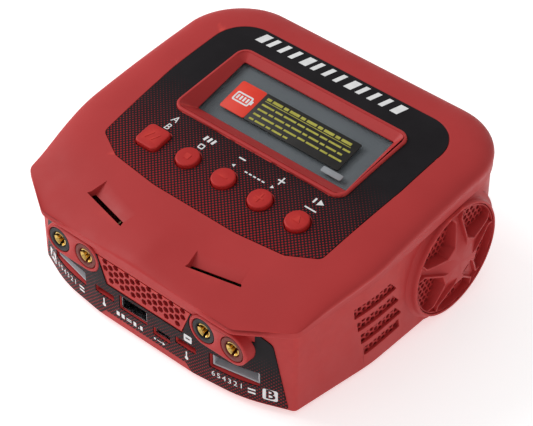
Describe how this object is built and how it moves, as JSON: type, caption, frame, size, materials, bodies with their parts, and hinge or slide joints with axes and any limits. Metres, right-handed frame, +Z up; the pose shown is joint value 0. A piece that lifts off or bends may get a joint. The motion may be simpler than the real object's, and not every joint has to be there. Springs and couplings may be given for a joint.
{
  "type": "balance battery charger",
  "caption": "Bench charger for model batteries: wedge-shaped case with display, push buttons, front sockets and side cooling fans.",
  "frame": {"origin": "bottom centre of the bounding box, at the underside of the feet", "axes": "+X to the right as seen facing the front panel, +Y from the front panel to the rear, +Z up"},
  "size_m": [0.1508, 0.1358, 0.0637],
  "materials": {
    "shell_red": "fine satin texture",
    "button_red": "soft satin",
    "label_black": "semi-gloss printed film",
    "window_clear": "clear window",
    "sticker_film": "clear film with two printed tiles",
    "display_grey": "unlit display",
    "board_green": "coated circuit board",
    "black_plastic": "moulded black",
    "ring_red": "moulded brownish red",
    "jack_gold": "gold plated",
    "pin_metal": "bright plated",
    "socket_white": "moulded off-white",
    "connector_yellow": "moulded yellow",
    "ferrite_dark": "dark core and tape",
    "sink_aluminium": "extruded",
    "foot_rubber": "soft black rubber"
  },
  "bodies": {
    "charger_body": {"upper_case": "shell_red", "lower_case": "shell_red", "top_label": "label_black", "front_label": "label_black", "front_grille": "shell_red", "display_window": "window_clear", "display_sticker": "sticker_film", "display_panel": "display_grey", "switch_channel": "black_plastic", "switch_stop": "black_plastic", "switch_decrease": "black_plastic", "switch_increase": "black_plastic", "switch_start": "black_plastic", "button_board": "board_green", "jack_a_negative": "jack_gold", "jack_a_positive": "jack_gold", "jack_b_negative": "jack_gold", "jack_b_positive": "jack_gold", "jack_ring_a_negative": "black_plastic", "jack_ring_a_positive": "ring_red", "jack_ring_b_negative": "black_plastic", "jack_ring_b_positive": "ring_red", "balance_socket_a": "socket_white", "balance_socket_b": "socket_white", "balance_pins_a": "pin_metal", "balance_pins_b": "pin_metal", "probe_socket_a": "black_plastic", "probe_socket_b": "black_plastic", "usb_shell": "pin_metal", "usb_tongue": "black_plastic", "micro_usb_shell": "pin_metal", "fan_frame_right": "black_plastic", "fan_guard_right": "shell_red", "side_screen_right": "shell_red", "fan_frame_left": "black_plastic", "fan_guard_left": "shell_red", "side_screen_left": "shell_red", "ac_inlet": "black_plastic", "ac_inlet_pins": "pin_metal", "dc_input": "connector_yellow", "main_board": "board_green", "power_board": "board_green", "transformer": "ferrite_dark", "heat_sink": "sink_aluminium", "bulk_capacitor": "black_plastic", "foot_front_left": "foot_rubber", "foot_front_right": "foot_rubber", "foot_rear_left": "foot_rubber", "foot_rear_right": "foot_rubber", "case_screw_front_left": "pin_metal", "case_screw_front_right": "pin_metal", "case_screw_rear_left": "pin_metal", "case_screw_rear_right": "pin_metal"},
    "button_channel": {"button_channel": "button_red"},
    "button_stop": {"button_stop": "button_red"},
    "button_decrease": {"button_decrease": "button_red"},
    "button_increase": {"button_increase": "button_red"},
    "button_start": {"button_start": "button_red"},
    "fan_impeller_right": {"fan_impeller_right": "black_plastic"},
    "fan_impeller_left": {"fan_impeller_left": "black_plastic"}
  },
  "joints": [
    {"name": "button_channel_press", "type": "slide", "parent": "charger_body", "child": "button_channel", "axis": [0, 0.1805, -0.9836], "range_m": [0, 0.0006], "stiffness_N_per_m": 500},
    {"name": "button_stop_press", "type": "slide", "parent": "charger_body", "child": "button_stop", "axis": [0, 0.1805, -0.9836], "range_m": [0, 0.0006], "stiffness_N_per_m": 500},
    {"name": "button_decrease_press", "type": "slide", "parent": "charger_body", "child": "button_decrease", "axis": [0, 0.1805, -0.9836], "range_m": [0, 0.0006], "stiffness_N_per_m": 500},
    {"name": "button_increase_press", "type": "slide", "parent": "charger_body", "child": "button_increase", "axis": [0, 0.1805, -0.9836], "range_m": [0, 0.0006], "stiffness_N_per_m": 500},
    {"name": "button_start_press", "type": "slide", "parent": "charger_body", "child": "button_start", "axis": [0, 0.1805, -0.9836], "range_m": [0, 0.0006], "stiffness_N_per_m": 500},
    {"name": "fan_right_spin", "type": "hinge", "parent": "charger_body", "child": "fan_impeller_right", "pos_m": [0.061, 0.02935, 0.0264], "axis": [1, 0, 0], "continuous": true},
    {"name": "fan_left_spin", "type": "hinge", "parent": "charger_body", "child": "fan_impeller_left", "pos_m": [-0.061, 0.02935, 0.0264], "axis": [1, 0, 0], "continuous": true}
  ]
}
